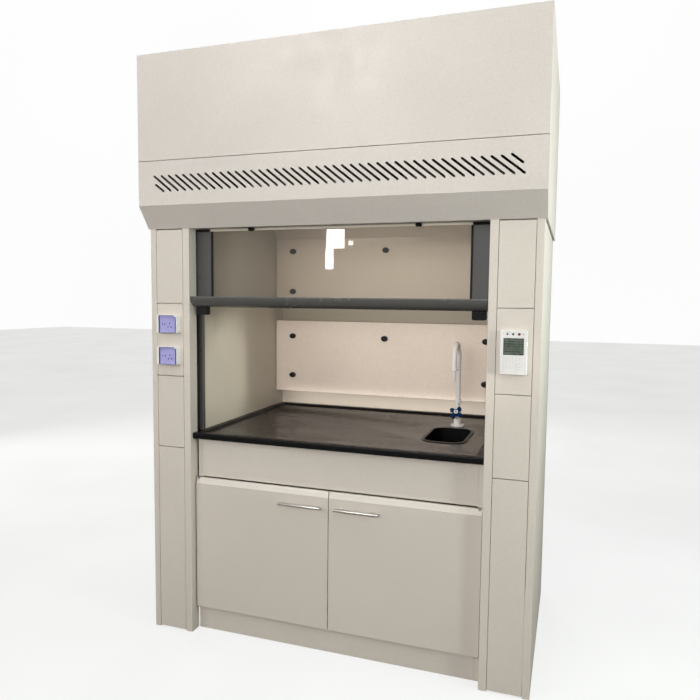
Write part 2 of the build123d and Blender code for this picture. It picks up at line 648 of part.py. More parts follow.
# Socket boxes with recessed faces and hinged covers.
boxes = []
faces = []
for name, z in SOCKET_CENTRES:
    x0 = SOCKET_X - SOCKET_W / 2
    x1 = SOCKET_X + SOCKET_W / 2
    z0 = z - SOCKET_H / 2
    z1 = z + SOCKET_H / 2
    cover_low = x0 + 13.2
    cover_high = x1 - 3
    box = block(x0, x1, SOCKET_FRONT, COLUMN_FRONT, z0, z1)
    box = fillet(box.edges().filter_by(Axis.Y), 4)
    box -= block(x0 + 15, x1 - 8, SOCKET_FRONT - 1, SOCKET_FRONT + 9, z0 + 5, z1 - 9)
    for ear_x in (x0 + 10, x1 - 9):
        ear = block(ear_x, ear_x + 3, SOCKET_FRONT - 4.8, SOCKET_FRONT, z1 - 7, z1 - 1)
        box += ear
    boxes.append(box)
    face = block(x0 + 15.2, x1 - 8.2, SOCKET_FRONT + 3, SOCKET_FRONT + 9, z0 + 5.2, z1 - 9.2)
    for pin_x, pin_z, width, height in (
        (-20, 1, 2.4, 7), (-9, 1, 2.4, 7), (12, 4, 2.4, 7), (5, -10, 2.4, 7), (19, -10, 2.4, 7),
    ):
        cx = SOCKET_X + pin_x
        cz = z - 2 + pin_z
        face -= block(cx - width / 2, cx + width / 2, SOCKET_FRONT, SOCKET_FRONT + 7, cz - height / 2, cz + height / 2)
    faces.append(face)
    cover = block(cover_low, cover_high, SOCKET_FRONT - 5, SOCKET_FRONT - 0.4, z0 + 1, z1 - 5)
    cover = fillet(cover.edges().filter_by(Axis.Y), 3)
    cover -= block(cover_low + 2, cover_high - 2, SOCKET_FRONT - 3, SOCKET_FRONT, z0 + 3, z1 - 8)
    barrel = rod_x(x0 + 13.2, x1 - 9.2, SOCKET_FRONT - 2.6, z1 - 4, 2.2)
    web = block(x0 + 13.2, x1 - 9.2, SOCKET_FRONT - 4.8, SOCKET_FRONT - 3.0, z1 - 7, z1 - 4)
    cover -= block(x1 - 9.2, x1 + 2, SOCKET_FRONT - 8, SOCKET_FRONT + 2, z1 - 8, z1)
    save(f"{name}_socket_cover", cover + barrel + web)
save("socket_boxes", *boxes)
save("socket_faces", *faces)

# Controller: a shallow case with a display window and nine push keys.
case = block(PANEL_X - PANEL_W / 2, PANEL_X + PANEL_W / 2, PANEL_FRONT, COLUMN_FRONT, PANEL_Z - 72.5, PANEL_Z + 72.5)
case = fillet(case.edges().filter_by(Axis.Y), 5)
case = chamfer(case.faces().sort_by(Axis.Y)[0].edges(), 1.5)
case -= block(624, 689.5, PANEL_FRONT - 1, PANEL_FRONT + 3, 1169, 1224.5)
for x, radius in ((636.5, 2), (654.4, 2), (674, 4), (687.5, 2)):
    case -= rod_y(x, PANEL_FRONT - 1, PANEL_FRONT + 2, 1237.5, radius)
for x in KEY_COLUMNS:
    for z in KEY_ROWS:
        case -= block(x - 7.3, x + 7.3, PANEL_FRONT - 1, PANEL_FRONT + 4.5, z - 4.3, z + 4.3)
save("controller_case", case)
save("controller_display", block(624.2, 689.3, PANEL_FRONT + 1, PANEL_FRONT + 3, 1169.2, 1224.3))

number = 0
for z in KEY_ROWS:
    for x in KEY_COLUMNS:
        number += 1
        key = block(x - 7, x + 7, PANEL_FRONT - 1.3, PANEL_FRONT + 3.3, z - 4, z + 4)
        key = fillet(key.edges().filter_by(Axis.Y), 2.5)
        key = fillet(key.edges().group_by(Axis.Y)[0], 0.5)
        save(f"key_{number}", key)
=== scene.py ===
import json
import math

import bmesh
import bpy
from mathutils import Matrix, Vector


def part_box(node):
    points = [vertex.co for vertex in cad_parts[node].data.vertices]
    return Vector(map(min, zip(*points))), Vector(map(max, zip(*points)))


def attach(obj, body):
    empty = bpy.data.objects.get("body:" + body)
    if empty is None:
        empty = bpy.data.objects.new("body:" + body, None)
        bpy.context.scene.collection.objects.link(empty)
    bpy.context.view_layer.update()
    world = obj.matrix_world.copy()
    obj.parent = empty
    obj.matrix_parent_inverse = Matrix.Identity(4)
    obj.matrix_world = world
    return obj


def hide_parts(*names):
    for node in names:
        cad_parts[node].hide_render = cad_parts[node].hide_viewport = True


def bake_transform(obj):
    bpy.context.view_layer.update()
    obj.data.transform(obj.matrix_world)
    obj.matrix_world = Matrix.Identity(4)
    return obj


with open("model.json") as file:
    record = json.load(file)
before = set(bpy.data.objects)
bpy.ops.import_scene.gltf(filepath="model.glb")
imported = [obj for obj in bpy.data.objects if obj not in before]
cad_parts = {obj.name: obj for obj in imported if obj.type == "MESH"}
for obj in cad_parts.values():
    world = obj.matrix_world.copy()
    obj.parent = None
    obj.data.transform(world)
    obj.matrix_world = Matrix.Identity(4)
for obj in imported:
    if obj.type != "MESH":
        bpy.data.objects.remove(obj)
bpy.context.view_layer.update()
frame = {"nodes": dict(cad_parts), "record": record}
NODES = frame["nodes"]
BODY_OF = {n: b for b, members in frame["record"]["behaviour"]["bodies"].items() for n in members}
SLOT_OF = {s["node"]: s["material_slot"] for s in frame["record"]["subparts"]}
scene = bpy.context.scene


# ---------------------------------------------------------------- materials

def srgb(r, g, b):
    """Linear colour from 0-255 screen values."""
    out = []
    for c in (r, g, b):
        c /= 255
        out.append(c / 12.92 if c <= 0.04045 else ((c + 0.055) / 1.055) ** 2.4)
    return (*out, 1)


def shade(color, k):
    return (color[0] * k, color[1] * k, color[2] * k, 1)


class Finish:
    """A node material around one Principled shader, in object coordinates (the row frame, metres)."""

    def __init__(self, name, rough=0.5, metal=0.0, specular=0.5):
        self.material = bpy.data.materials.new(name)
        self.material.use_nodes = True
        tree = self.material.node_tree
        tree.nodes.clear()
        self.nodes, self.links = tree.nodes, tree.links
        self.out = self.nodes.new("ShaderNodeOutputMaterial")
        self.bsdf = self.nodes.new("ShaderNodeBsdfPrincipled")
        self.links.new(self.bsdf.outputs[0], self.out.inputs[0])
        self.bsdf.inputs["Roughness"].default_value = rough
        self.bsdf.inputs["Metallic"].default_value = metal
        self.bsdf.inputs["Specular IOR Level"].default_value = specular
        self.coords = self.nodes.new("ShaderNodeTexCoord").outputs["Object"]

    def noise(self, scale, detail=2.0, stretch=(1, 1, 1), rough=0.5, kind="noise"):
        mapping = self.nodes.new("ShaderNodeMapping")
        mapping.inputs["Scale"].default_value = stretch
        self.links.new(self.coords, mapping.inputs[0])
        if kind == "voronoi":
            tex = self.nodes.new("ShaderNodeTexVoronoi")
            out = tex.outputs["Distance"]
        else:
            tex = self.nodes.new("ShaderNodeTexNoise")
            tex.inputs["Detail"].default_value = detail
            tex.inputs["Roughness"].default_value = rough
            out = tex.outputs[0]
        tex.inputs["Scale"].default_value = scale
        self.links.new(mapping.outputs[0], tex.inputs["Vector"])
        return out

    def axis(self, letter):
        split = self.nodes.new("ShaderNodeSeparateXYZ")
        self.links.new(self.coords, split.inputs[0])
        return split.outputs[letter]

    def ramp(self, value, *stops):
        node = self.nodes.new("ShaderNodeValToRGB")
        elements = node.color_ramp.elements
        while len(elements) < len(stops):
            elements.new(0.5)
        for element, (position, color) in zip(elements, stops):
            element.position = position
            element.color = color
        self.links.new(value, node.inputs[0])
        return node.outputs[0]

    def remap(self, value, low, high, start=0.0, end=1.0):
        node = self.nodes.new("ShaderNodeMapRange")
        node.inputs["From Min"].default_value = start
        node.inputs["From Max"].default_value = end
        node.inputs["To Min"].default_value = low
        node.inputs["To Max"].default_value = high
        self.links.new(value, node.inputs["Value"])
        return node.outputs[0]

    def mix(self, factor, a, b, mode="MIX"):
        node = self.nodes.new("ShaderNodeMix")
        node.data_type = "RGBA"
        node.blend_type = mode
        self.feed(node.inputs["Factor"], factor)
        self.feed(node.inputs[6], a)
        self.feed(node.inputs[7], b)
        return node.outputs[2]

    def math(self, operation, *values):
        node = self.nodes.new("ShaderNodeMath")
        node.operation = operation
        for socket, value in zip(node.inputs, values):
            self.feed(socket, value)
        return node.outputs[0]

    def feed(self, socket, value):
        if isinstance(value, bpy.types.NodeSocket):
            self.links.new(value, socket)
        else:
            socket.default_value = value

    def color(self, value):
        self.feed(self.bsdf.inputs["Base Color"], value)
        return self

    def rough(self, value):
        self.feed(self.bsdf.inputs["Roughness"], value)
        return self

    def bump(self, height, strength, distance):
        node = self.nodes.new("ShaderNodeBump")
        node.inputs["Strength"].default_value = strength
        node.inputs["Distance"].default_value = distance
        self.links.new(height, node.inputs["Height"])
        self.links.new(node.outputs[0], self.bsdf.inputs["Normal"])
        return self

    def set(self, **values):
        for key, value in values.items():
            self.feed(self.bsdf.inputs[key.replace("_", " ")], value)
        return self


def grey(level):
    """A neutral factor to multiply a colour by."""
    return (level, level, level, 1)


def speckled(name, base, low=0.965, high=1.025, rough=(0.36, 0.5), grain=900.0, peel=0.12, cloud=2.4):
    """Powder coat or moulded plastic: slow tone drift, fine speckle, orange-peel bump, uneven gloss."""
    f = Finish(name)
    drift = f.ramp(f.noise(cloud, 4), (0.3, shade(base, low)), (0.7, shade(base, high)))
    fine = f.ramp(f.noise(grain, 2), (0.35, grey(0.93)), (0.65, grey(1.04)))
    coarse = f.ramp(f.noise(grain * 0.36, 2), (0.35, grey(0.965)), (0.65, grey(1.03)))
    f.color(f.mix(1.0, f.mix(1.0, drift, fine, "MULTIPLY"), coarse, "MULTIPLY"))
    f.rough(f.remap(f.noise(14, 3), rough[0], rough[1], 0.3, 0.7))
    f.bump(f.noise(grain * 0.45, 2), peel, COAT_DEPTH)
    return f


def brushed(name, base, rough):
    """Metal with fine lines along X."""
    f = Finish(name, rough=rough, metal=1.0)
    lines = f.noise(40.0, 3, (4, 60, 60))
    f.color(f.ramp(lines, (0.3, shade(base, 0.82)), (0.7, shade(base, 1.1))))
    f.rough(f.remap(lines, rough * 0.75, rough * 1.3, 0.3, 0.7))
    f.bump(lines, 0.12, 0.0002)
    return f


def rear_liner():
    """The liner behind the baffles, coloured darker above the lower one's foot for the duct's shade."""
    f = Finish("rear liner in the duct")
    height = f.remap(f.axis("Z"), 0.0, 1.0, 0.9, 1.2)
    drift = f.remap(f.noise(2.4, 4), 0.0, 0.06, 0.3, 0.7)
    f.color(f.mix(f.math("ADD", height, drift), srgb(198, 186, 170), srgb(162, 152, 135)))
    f.rough(f.remap(f.noise(14, 3), 0.3, 0.42, 0.3, 0.7))
    f.bump(f.noise(225, 2), 0.12, COAT_DEPTH)
    return f.material


COAT = srgb(208, 199, 187)
COAT_DEPTH = 0.0004
MOULDED = {"rough": (0.24, 0.32), "peel": 0.05}
LENS = {"rough": (0.12, 0.2), "peel": 0.02}
M = {}


def coat(key, name, base, specular=0.5, **look):
    """A speckled finish, kept in M under its slot's name or a key of its own."""
    M[key] = speckled(name, base, **look).set(Specular_IOR_Level=specular).material


coat("painted_steel", "powder coat", COAT)
# Folds take a lighter copy of the coat: partly wear, partly a painted highlight along them.
coat("fold_wear_and_highlight", "powder coat, worn and highlighted on a fold", shade(COAT, 1.1), rough=(0.28, 0.36))
coat("coated_board", "coated board", shade(COAT, 0.985), cloud=1.7)
coat("liner", "chamber liner", srgb(208, 199, 182), rough=(0.3, 0.42), grain=500)
coat("canopy_steel", "powder coat on the canopy", srgb(206, 198, 189), grain=620, peel=0.2)
M["rear_liner"] = rear_liner()
coat("baffle_board", "baffle laminate", srgb(221, 206, 191), rough=(0.32, 0.45), grain=420, cloud=3.2)
coat("black_plastic", "black moulded", srgb(24, 24, 25), rough=(0.3, 0.42), grain=700, peel=0.2)
coat("grey_plastic", "grey moulded", srgb(150, 152, 154), rough=(0.35, 0.45))
coat("black_rubber", "black rubber", srgb(9, 9, 10), rough=(0.62, 0.8), grain=600, peel=0.3)
coat("dark_aluminium", "dark powder coat", srgb(72, 71, 69), 0.7, rough=(0.26, 0.36), grain=1100)
# The sash bar's coat is a lighter copy of the dark coat above: painted light for the bar's sheen.
coat("bar_aluminium", "dark coat, lit copy on the bar", srgb(86, 85, 82), 0.8, rough=(0.23, 0.28), grain=1100, peel=0.08)
# The dark coat's broken edges are lighter: partly rubbed wear, partly a painted highlight along them.
coat("dark_edge_wear_and_highlight", "dark coat rubbed and highlighted at edges", srgb(98, 97, 95), rough=(0.22, 0.3), grain=1100)
coat("case_plastic", "controller case", srgb(222, 219, 214), **MOULDED)
coat("white_plastic", "white moulded", srgb(236, 235, 232), **MOULDED)
coat("key_rubber", "key rubber", srgb(226, 224, 220), rough=(0.5, 0.6))
coat("tap_coat", "tap epoxy coat", srgb(222, 216, 213), rough=(0.2, 0.3), peel=0.05)
coat("blue_plastic", "blue moulded", srgb(2, 41, 85), 0.2, rough=(0.26, 0.36), peel=0.05)
coat("tap_button", "cap button", srgb(120, 122, 124), rough=(0.3, 0.4), peel=0.05)
coat("violet_edge", "tinted cover edge", srgb(38, 36, 104), rough=(0.2, 0.28), peel=0.04)
coat("sink_plastic", "black moulded sink", srgb(9, 10, 10), 0.3, rough=(0.34, 0.46), grain=500)
coat("key_mark", "key marks", srgb(104, 98, 92), rough=(0.45, 0.55), peel=0.04)
coat("lens_dark", "dark lens", srgb(22, 22, 24), **LENS)
coat("lens_red", "red lens", srgb(122, 46, 40), **LENS)
coat("lens_grey", "smoked lens", srgb(58, 58, 62), **LENS)
coat("lens_pale", "clear lens", srgb(176, 178, 180), **LENS)
M["screw"] = brushed("zinc screw", srgb(188, 188, 186), 0.28).material
M["steel"] = brushed("steel", srgb(176, 177, 178), 0.32).material
M["stainless"] = brushed("stainless", srgb(228, 225, 219), 0.3).material
coat("iron", "cast iron", srgb(62, 62, 64), rough=(0.5, 0.65), grain=260, peel=0.6)


def galvanised():
    f = Finish("galvanised sheet", rough=0.36, metal=1.0)
    spangle = f.noise(70, kind="voronoi")
    f.color(f.ramp(spangle, (0.1, srgb(176, 180, 183)), (0.7, srgb(208, 211, 212))))
    f.rough(f.remap(spangle, 0.28, 0.5, 0.0, 0.8))
    f.bump(spangle, 0.05, 0.0003)
    return f.material


M["galvanised"] = galvanised()


def worktop_stone():
    """Dark cast worktop: fine mottling with faint brown streaks and a sheen that wanders."""
    f = Finish("cast worktop", specular=0.52)
    mottle = f.ramp(f.noise(38, 6, (1, 1.5, 1)), (0.3, srgb(32, 28, 28)), (0.7, srgb(46, 41, 40)))
    wandering = f.noise(3.4, 5, (0.7, 2.6, 1), 0.62)
    streak = f.ramp(wandering, (0.35, (0.82, 0.8, 0.8, 1)), (0.68, (1.2, 1.12, 1.08, 1)))
    f.color(f.mix(1.0, mottle, streak, "MULTIPLY"))
    f.rough(f.remap(f.noise(5, 5, (1, 2, 1)), 0.16, 0.32, 0.3, 0.7))
    f.bump(f.noise(420, 3), 0.1, 0.0004)
    return f.material


# A darker, duller copy of the worktop stone for the lip and edges: painted shade.
def worktop_edge():
    f = Finish("worktop edge, painted shade", specular=0.22)
    f.color(f.ramp(f.noise(90, 4), (0.3, srgb(8, 8, 9)), (0.7, srgb(17, 16, 16))))
    f.rough(f.remap(f.noise(22, 3), 0.3, 0.46, 0.3, 0.7))
    f.bump(f.noise(300, 3), 0.15, 0.0004)
    return f.material


M["worktop_stone"] = worktop_stone()
M["worktop_edge"] = worktop_edge()


GLASS_AHEAD = 0.04    # share mirrored by a pane seen straight on
GLASS_GRAZING = 0.94  # what is added to it as the view becomes grazing


def clear_glass(name, tint, haze):
    """Pane seen straight through, with mirror-like reflections that grow at grazing angles."""
    f = Finish(name)
    f.nodes.remove(f.bsdf)
    through = f.nodes.new("ShaderNodeBsdfTransparent")
    through.inputs[0].default_value = tint
    gloss = f.nodes.new("ShaderNodeBsdfGlossy")
    gloss.inputs["Roughness"].default_value = 0.02
    facing = f.nodes.new("ShaderNodeLayerWeight")
    facing.inputs["Blend"].default_value = 0.5
    grazing = f.math("POWER", facing.outputs["Facing"], 5.0)
    mirror = f.math("MULTIPLY_ADD", grazing, GLASS_GRAZING, GLASS_AHEAD)
    film = f.remap(f.noise(2.2, 4, (1, 1, 0.6)), 0.0, haze, 0.35, 0.75)
    mixer = f.nodes.new("ShaderNodeMixShader")
    f.links.new(f.math("ADD", mirror, film), mixer.inputs[0])
    f.links.new(through.outputs[0], mixer.inputs[1])
    f.links.new(gloss.outputs[0], mixer.inputs[2])
    f.links.new(mixer.outputs[0], f.out.inputs[0])
    return f.material


M["clear_glass"] = clear_glass("float glass", (0.885, 0.88, 0.85, 1), 0.03)


COVER_OPACITY = 0.075


def violet_cover():
    """Translucent tinted cover that lets the socket face show through."""
    f = Finish("tinted cover", rough=0.22)
    f.color(f.ramp(f.noise(60, 3), (0.3, srgb(104, 100, 206)), (0.7, srgb(128, 124, 224))))
    f.bump(f.noise(700, 2), 0.05, 0.0003)
    clear = f.nodes.new("ShaderNodeBsdfTransparent")
    clear.inputs[0].default_value = (0.884, 0.876, 0.985, 1)
    mixer = f.nodes.new("ShaderNodeMixShader")
    mixer.inputs[0].default_value = COVER_OPACITY
    f.links.new(clear.outputs[0], mixer.inputs[1])
    f.links.new(f.bsdf.outputs[0], mixer.inputs[2])
    f.links.new(mixer.outputs[0], f.out.inputs[0])
    return f.material


M["violet_cover"] = violet_cover()


SEGMENT_ROW = 0.0042             # half the pitch of the display's rows
SEGMENT_EDGE = (0.0021, 0.0027)  # where a row fades in


def display():
    """Grey-green liquid crystal window with rows of unlit segments showing faintly."""
    f = Finish("liquid crystal window", rough=0.16)
    cloudy = f.ramp(f.noise(24, 2), (0.35, srgb(72, 81, 70)), (0.7, srgb(94, 103, 91)))
    rows = f.math("PINGPONG", f.axis("Z"), SEGMENT_ROW)
    band = f.remap(rows, 0.0, 1.0, *SEGMENT_EDGE)
    cells = f.remap(f.noise(1.0, 0, (420, 1, 120)), 0.0, 1.0, 0.46, 0.5)
    mask = f.mix(1.0, band, cells, "MULTIPLY")
    f.color(f.mix(mask, cloudy, srgb(36, 42, 34)))
    f.bump(f.noise(1500, 1), 0.03, 0.0002)
    return f.material


M["display"] = display()


# ---------------------------------------------------------------- mesh helpers

CABINET = "cabinet"
FRONTWARD = (0, -1, 0)
REARWARD = (0, 1, 0)
UPWARD = (0, 0, 1)


def linked(name, data):
    """A scene object around finished data."""
    obj = bpy.data.objects.new(name, data)
    scene.collection.objects.link(obj)
    return obj


def new_object(name, mesh, body):
    """A piece that rides on a body."""
    obj = linked(name, mesh)
    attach(obj, body)
    return obj


def mesh_of(bm, name, *materials):
    """The mesh of a bmesh, which is freed, with its materials in order."""
    mesh = bpy.data.meshes.new(name)
    bm.to_mesh(mesh)
    bm.free()
    for material in materials:
        mesh.materials.append(material)
    return mesh


def box_of(size, centre):
    """A bmesh box of a given size about a centre."""
    bm = bmesh.new()
    bmesh.ops.create_cube(bm, size=1.0)
    bmesh.ops.scale(bm, vec=size, verts=bm.verts)
    bmesh.ops.translate(bm, vec=centre, verts=bm.verts)
    return bm


def join_rings(bm, rings):
    """Faces between neighbouring rings of points, and a cap at each end."""
    for low, high in zip(rings, rings[1:]):
        for k in range(len(low)):
            after = (k + 1) % len(low)
            bm.faces.new((low[k], low[after], high[after], high[k]))
    bm.faces.new(list(reversed(rings[0])))
    bm.faces.new(rings[-1])
    bmesh.ops.recalc_face_normals(bm, faces=bm.faces)


WELD = 2e-6               # points of a CAD mesh closer than this become one
FLAT = math.radians(0.4)  # neighbouring faces within this angle become one


def skin(
    node, width=0.0012, segments=2, material=None, edge=None, angle=28.0, smooth=30.0,
    paint=None, extra=(), shape=None,
):
    """The CAD node's own shape with its sharp edges broken, as the real folds and mouldings are.

    angle and smooth are the least angles, in degrees, of an edge that is broken and of one that shades
    sharp. paint gives a face's material by its normal and centre: 0 main, 1 edge, 2 and up from extra.
    shape changes the mesh before it is painted.
    """
    slot = SLOT_OF[node]
    main = material or M[slot]
    bm = bmesh.new()
    bm.from_mesh(NODES[node].data)
    bmesh.ops.remove_doubles(bm, verts=bm.verts, dist=WELD)
    bmesh.ops.dissolve_limit(bm, angle_limit=FLAT, verts=bm.verts, edges=bm.edges)
    if shape:
        shape(bm)
    bm.normal_update()
    for face in bm.faces:
        face.smooth = True
        face.material_index = paint(face.normal, face.calc_center_median()) if paint else 0
    mesh = mesh_of(bm, node + "_skin", main, edge or main, *extra)
    mesh.set_sharp_from_angle(angle=math.radians(smooth))
    obj = new_object(node + "_skin", mesh, BODY_OF[node])
    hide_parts(node)
    if width:
        bevel = obj.modifiers.new("broken edges", "BEVEL")
        bevel.width = width
        bevel.segments = segments
        bevel.limit_method = "ANGLE"
        bevel.angle_limit = math.radians(angle)
        bevel.harden_normals = True
        bevel.material = 1 if edge else -1
        bevel.use_clamp_overlap = True
    return obj


def skins(nodes, *sizes, **look):
    """The same skin on several nodes."""
    for node in nodes:
        skin(node, *sizes, **look)


def turned(name, body, material, centre, outward, profile, sides=24):
    """A small turned piece: profile is (radius, height) pairs along outward, starting at the base."""
    direction = Vector(outward).normalized()
    across = direction.orthogonal().normalized()
    third = direction.cross(across)
    bm = bmesh.new()
    rings = []
    for radius, height in profile:
        ring = []
        for k in range(sides):
            turn = math.tau * k / sides
            spoke = across * math.cos(turn) + third * math.sin(turn)
            ring.append(bm.verts.new(Vector(centre) + direction * height + spoke * radius))
        rings.append(ring)
    join_rings(bm, rings)
    for face in bm.faces:
        face.smooth = True
    mesh = mesh_of(bm, name, material)
    mesh.set_sharp_from_angle(angle=math.radians(40))
    return new_object(name, mesh, body)


SCREW_HEAD_R = 0.0045
SCREW_HEAD_SUNK = 0.0004


def pan_head(name, centre, outward, height=0.0014):
    """A domed screw head with a round recess, its base just under the sheet."""
    profile = (
        (SCREW_HEAD_R, -SCREW_HEAD_SUNK),
        (SCREW_HEAD_R, height * 0.35),
        (SCREW_HEAD_R * 0.9, height * 0.72),
        (SCREW_HEAD_R * 0.62, height),
        (SCREW_HEAD_R * 0.42, height),
        (SCREW_HEAD_R * 0.3, height * 0.35),
    )
    return turned(name, CABINET, M["screw"], centre, outward, profile, sides=16)


ROPE_R = 0.0015
ROPE_STRANDS = 6
ROPE_LAY = 0.03            # length in which a strand goes once round
ROPE_STEP = ROPE_LAY / 24  # length between two rings of the rope's mesh


def add_rope(bm, path):
    """A twisted rope along a path of points: a lobed section that turns once per lay."""
    corners = ROPE_STRANDS * 2
    spaced = [path[0]]
    for a, b in zip(path, path[1:]):
        pieces = max(1, round((b - a).length / ROPE_STEP))
        spaced += [a.lerp(b, (k + 1) / pieces) for k in range(pieces)]
    sideways = Vector((1, 0, 0))
    rings = []
    travelled = 0.0
    for k, point in enumerate(spaced):
        behind = spaced[max(k - 1, 0)]
        ahead = spaced[min(k + 1, len(spaced) - 1)]
        outwards = (ahead - behind).normalized().cross(sideways).normalized()
        travelled += (point - behind).length
        ring = []
        for j in range(corners):
            turn = math.tau * (j / corners + travelled / ROPE_LAY)
            reach = ROPE_R * (1.0 if j % 2 == 0 else 0.8)
            ring.append(bm.verts.new(point + (sideways * math.cos(turn) + outwards * math.sin(turn)) * reach))
        rings.append(ring)
    join_rings(bm, rings)


# ---------------------------------------------------------------- cabinet, canopy and worktop

CABINET_BACK_Y = 0.46
HEAD_RECESS = 0.0008
REAR_SHEET_Y = CABINET_BACK_Y - HEAD_RECESS
# The folds' lighter coat is partly wear, partly painted highlight.
FOLDED = {"edge": M["fold_wear_and_highlight"]}

skins(("side_panels", "roof_panel", "canopy_cheeks", "columns"), 0.0009, **FOLDED)
skins(("column_cover_plates", "cabinet_apron_and_plinth"), 0.0009, **FOLDED)

FLANGE_X = (0.7425, 0.7478)
FLANGE_Y = (0.4560, 0.4576)
FLANGE_Z = (1.6125, 2.2475)


def cheek_flange(name, side):
    """The return flange at the rear of a canopy cheek, which closes the step behind it."""
    near, far = sorted(side * x for x in FLANGE_X)
    low = Vector((near, FLANGE_Y[0], FLANGE_Z[0]))
    high = Vector((far, FLANGE_Y[1], FLANGE_Z[1]))
    size = high - low
    bm = box_of(size, (low + high) / 2)
    bmesh.ops.bevel(
        bm, geom=bm.edges[:], offset=min(size) * 0.2, segments=2, affect="EDGES", profile=0.5,
    )
    return new_object(name, mesh_of(bm, name, M["painted_steel"]), CABINET)


def recess_rear(bm):
    """The rear sheet sits a screw head's height inside the cabinet's back plane."""
    for vert in bm.verts:
        if vert.co.y > CABINET_BACK_Y - HEAD_RECESS / 2:
            vert.co.y -= HEAD_RECESS


def door_painted_highlight(normal, centre):
    """The long chamfer along a door's top takes the folds' lighter coat, a painted highlight for the light
    from above.
    """
    return 1 if 0.3 < normal.z < 0.95 and normal.y < -0.2 else 0


cheek_flange("left_cheek_flange", -1)
cheek_flange("right_cheek_flange", 1)
skin("rear_panel", 0.0005, shape=recess_rear, **FOLDED)
skin("canopy_access_panel", 0.0009, material=M["canopy_steel"], **FOLDED)
skin("canopy_grille_panel", 0.0005, material=M["canopy_steel"], angle=40, **FOLDED)
skins(("left_door", "right_door"), 0.0012, 3, angle=20, paint=door_painted_highlight, **FOLDED)
skins(("base_carcass", "cabinet_shelf"), 0.0008)
skins(("side_liners", "ceiling_liner"), 0.0006)
skin("rear_liner", 0.0006, material=M["rear_liner"])
skins(("lower_baffle", "upper_baffle"), 0.0008)
skin("baffle_knobs", 0)

LIP_FROM_Z = 0.808


def worktop_finish(normal, centre):
    """Mottled field; the lip and edges take a darker, duller copy of the stone, a painted shade."""
    return 0 if normal.z > 0.99 and centre.z < LIP_FROM_Z else 1


skin("worktop", 0.0015, 3, edge=M["worktop_edge"], angle=15, paint=worktop_finish)
skin("cup_sink", 0.001, material=M["sink_plastic"])
skin("sink_trap", 0.001)
skins(("exhaust_collar", "exhaust_duct", "lamp_housing", "pulley_brackets_and_guides"), 0.0006)
skin("lamp_window", 0.0004)


# ---------------------------------------------------------------- sash

skins(("sash_frame", "sash_tracks"), 0.001, 3, edge=M["dark_edge_wear_and_highlight"])
skin("sash_handle", 0.0018, 3, material=M["bar_aluminium"], edge=M["dark_edge_wear_and_highlight"], angle=34, smooth=28)
skin("sash_glass", 0.0004, 1)
skin("sash_rubber", 0.0012)

SEAL_CUT_X = 0.506            # just inside the stiles
HEADER_SEAL_LOW_Z = 1.6
HEADER_SEAL_FRONT_Y = -0.351  # the bumpers are ahead of this


def cut_header_seal(bm):
    """The header seal is dark over the stiles and pale over the glass, so it is cut at each stile."""
    for side in (-1, 1):
        everything = bm.verts[:] + bm.edges[:] + bm.faces[:]
        bmesh.ops.bisect_plane(
            bm, geom=everything, plane_co=(side * SEAL_CUT_X, 0, 0), plane_no=(1, 0, 0),
        )


def seal_finish(normal, centre):
    """The header seal is pale between its cuts; the bumpers and the column seals stay dark."""
    of_header = centre.z > HEADER_SEAL_LOW_Z and centre.y > HEADER_SEAL_FRONT_Y
    return 2 if of_header and abs(centre.x) < SEAL_CUT_X else 0


skin("frame_seals", 0.0012, paint=seal_finish, extra=(M["liner"],), shape=cut_header_seal)
skins(("door_pivots", "front_pulley_shaft", "rear_pulley_shaft"), 0.0003)
skin("counterweights", 0.0006)
skins(("left_door_handle", "right_door_handle"), 0.0004, smooth=40)


# ---------------------------------------------------------------- sockets, controller and tap

skin("socket_boxes", 0.0008)
SOCKET_FACE_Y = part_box("socket_faces")[0][1]
SLOT_FLOOR_FROM = 0.0035
SLOT_WALL_CENTRE = (0.0015, 0.0025)


def socket_slot_shade(normal, centre):
    """Slots in the socket faces are painted dark inside, a painted shade in the recesses."""
    depth = centre.y - SOCKET_FACE_Y
    floor_of_slot = normal.y < -0.9 and depth > SLOT_FLOOR_FROM
    wall_of_slot = abs(normal.y) < 0.1 and SLOT_WALL_CENTRE[0] < depth < SLOT_WALL_CENTRE[1]
    return 2 if floor_of_slot or wall_of_slot else 0


def cover_finish(normal, centre):
    """A cover is clear through its front and back, and deep violet where it is seen edge on."""
    return 0 if abs(normal.y) > 0.9 else 1


# The slots' floors and walls take the dark lens finish as painted shade.
skin("socket_faces", 0.0004, paint=socket_slot_shade, extra=(M["lens_dark"],))
skins(("upper_socket_cover", "lower_socket_cover"), 0.0006, edge=M["violet_edge"], paint=cover_finish)
skin("controller_case", 0.0005, material=M["case_plastic"])
skin("controller_display", 0.0003)
KEYS = range(1, 10)
skins((f"key_{index}" for index in KEYS), 0.0003)
skin("tap_base", 0.0006, 3, smooth=40)
skin("tap_spout", 0.0003, smooth=40)

TAP = Vector((0.379, 0.205, 0.831))
TAP_TILT = math.radians(40)
TAP_OUT = Vector((0, -math.cos(TAP_TILT), math.sin(TAP_TILT)))
TAP_CAP_FROM = 0.0604
TAP_CAP_FACE = 0.063
TAP_BUTTON = ((0.0046, -0.0003), (0.0046, 0.0003), (0.0040, 0.0006))


def tap_handle_finish(normal, centre):
    """The cap at the end of the blue handle is white."""
    return 2 if (centre - TAP).dot(TAP_OUT) > TAP_CAP_FROM else 0


skin("tap_handle", 0.0004, smooth=40, extra=(M["white_plastic"],), paint=tap_handle_finish)
turned(
    "tap_cap_button", "tap_knob", M["tap_button"], TAP + TAP_OUT * TAP_CAP_FACE, TAP_OUT,
    TAP_BUTTON,
)

